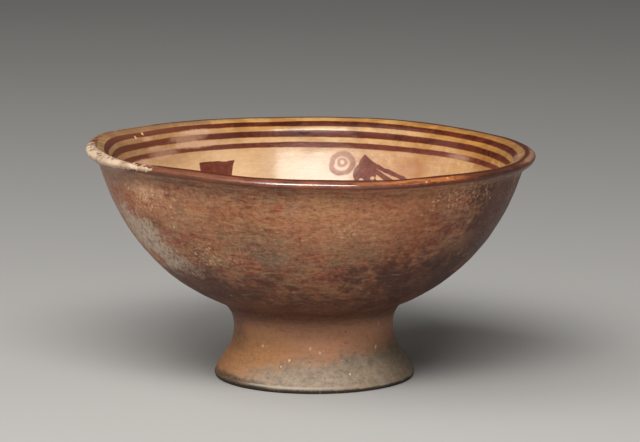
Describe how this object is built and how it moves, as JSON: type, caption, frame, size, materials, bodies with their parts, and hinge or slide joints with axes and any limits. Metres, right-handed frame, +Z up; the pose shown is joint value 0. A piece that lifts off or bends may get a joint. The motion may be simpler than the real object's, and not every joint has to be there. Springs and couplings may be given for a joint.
{
  "type": "pedestal bowl",
  "caption": "Open round bowl of painted earthenware with a turned-out lip, on a low flaring foot that is hollow from below.",
  "frame": {"origin": "on the table, under the middle of the rim", "axes": "+Z up, the way the bowl opens; -Y towards the side that the picture shows; +X to the right in the picture"},
  "size_m": [0.2, 0.2, 0.1046],
  "materials": {
    "painted_earthenware": "burnished red-brown slip, worn, with painted bands and figures inside"
  },
  "bodies": {
    "root": {"pedestal_bowl": "painted_earthenware"}
  },
  "joints": []
}
